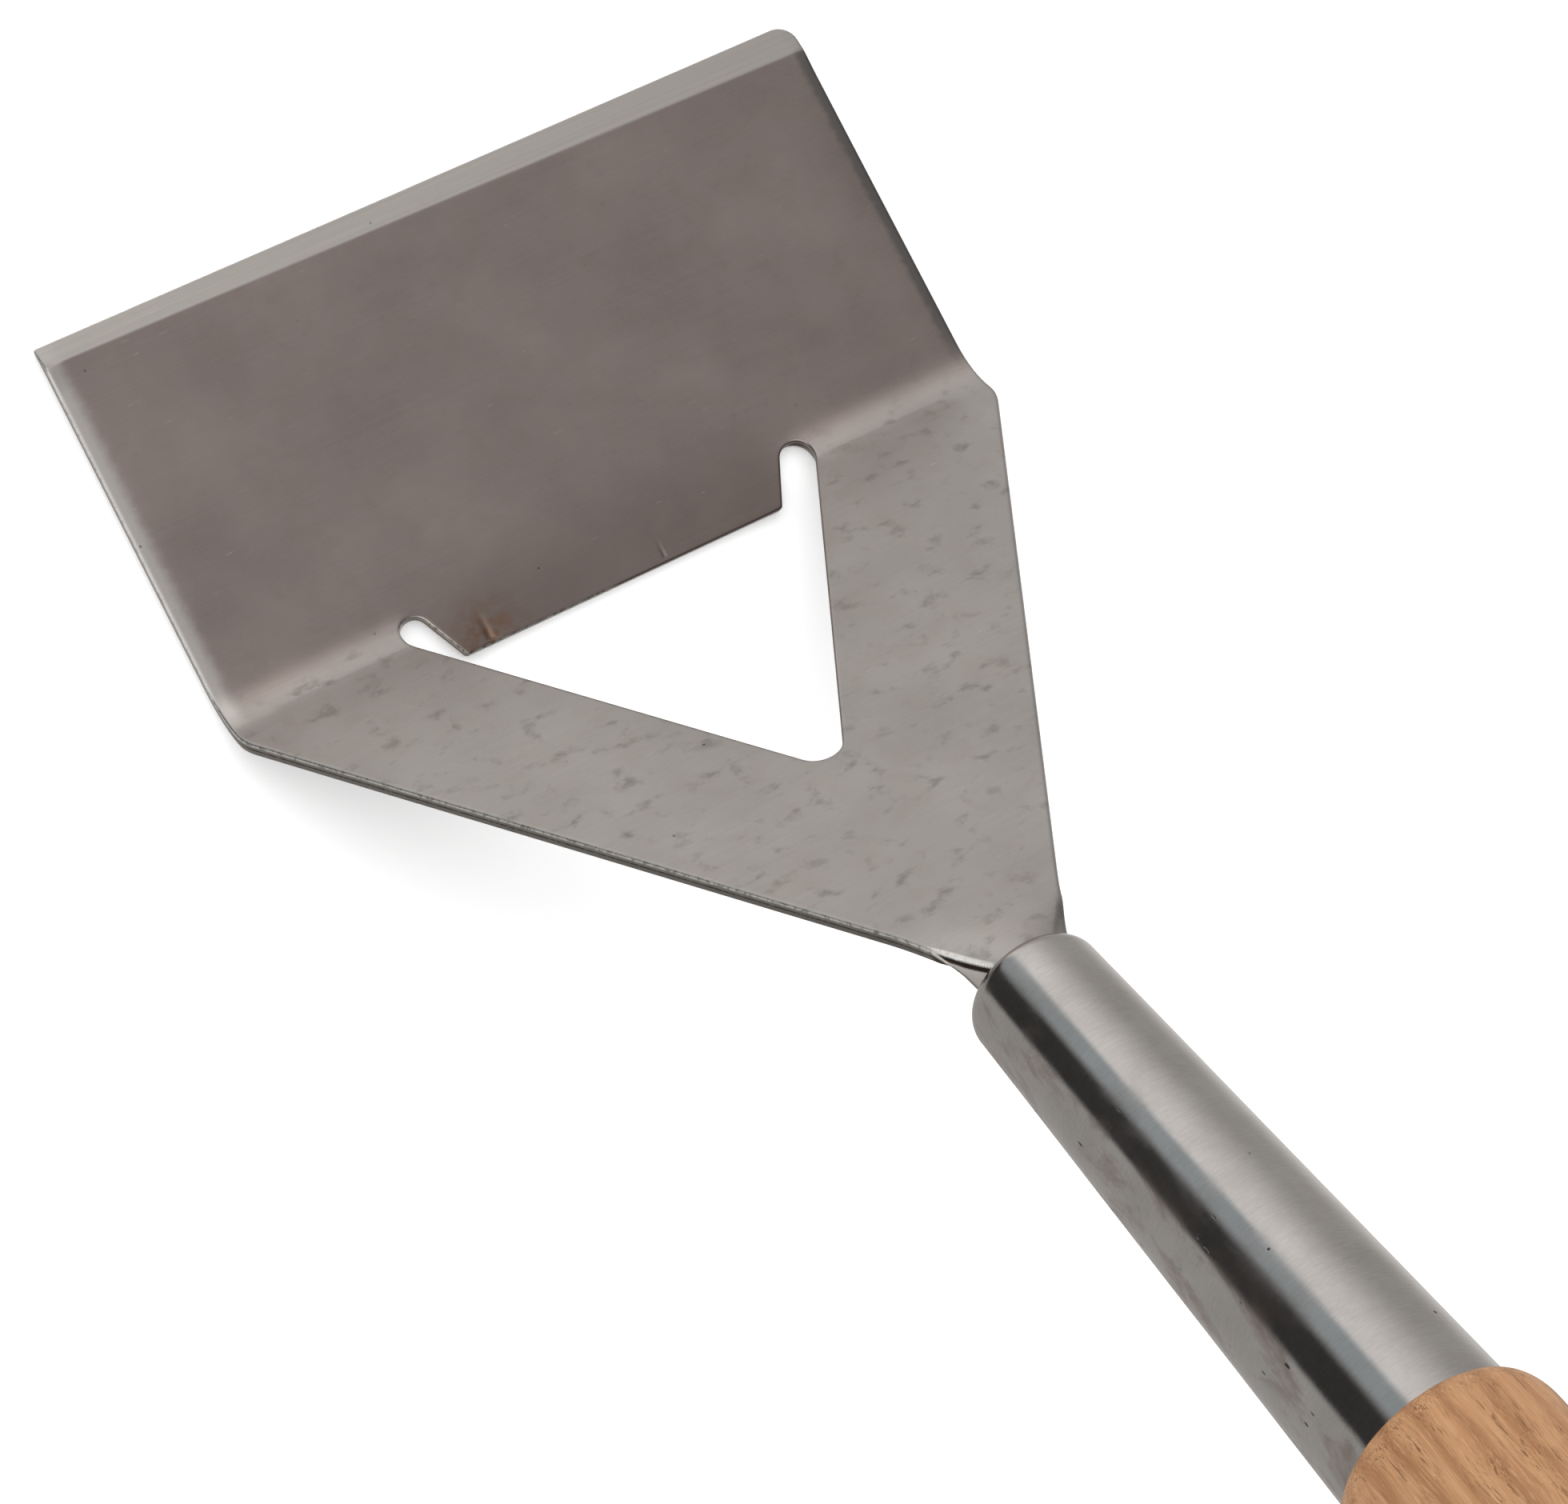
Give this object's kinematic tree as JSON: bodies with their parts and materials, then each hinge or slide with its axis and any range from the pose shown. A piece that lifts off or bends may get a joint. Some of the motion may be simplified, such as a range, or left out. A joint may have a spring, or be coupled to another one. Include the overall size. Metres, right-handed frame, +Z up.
{
  "type": "grill spatula",
  "caption": "Wide steel blade with a ground front edge, a V-shaped yoke with a triangular cut-out, a tapered ferrule and a turned wooden grip with a hanging eye.",
  "frame": {"origin": "middle of the bend line, on the flat underside of the blade", "axes": "+Y along the blade to its front edge, +Z up out of the blade's top face, +X across the blade; the handle rises towards -Y"},
  "size_m": [0.127, 0.3337, 0.2246],
  "materials": {
    "blade_steel": "satin ground stainless sheet with heat tint and fine scratches",
    "rod_steel": "plain drawn bar",
    "weld_metal": "dull weld bead",
    "ferrule_steel": "polished stainless tube with fine scratches",
    "grip_wood": "oiled open-grained hardwood",
    "fitting_steel": "satin stainless"
  },
  "bodies": {
    "root": {"blade": "blade_steel", "tang_rod": "rod_steel", "tang_welds": "weld_metal", "ferrule": "ferrule_steel", "grip": "grip_wood", "end_washer": "fitting_steel", "hanging_eye": "fitting_steel"}
  },
  "joints": []
}
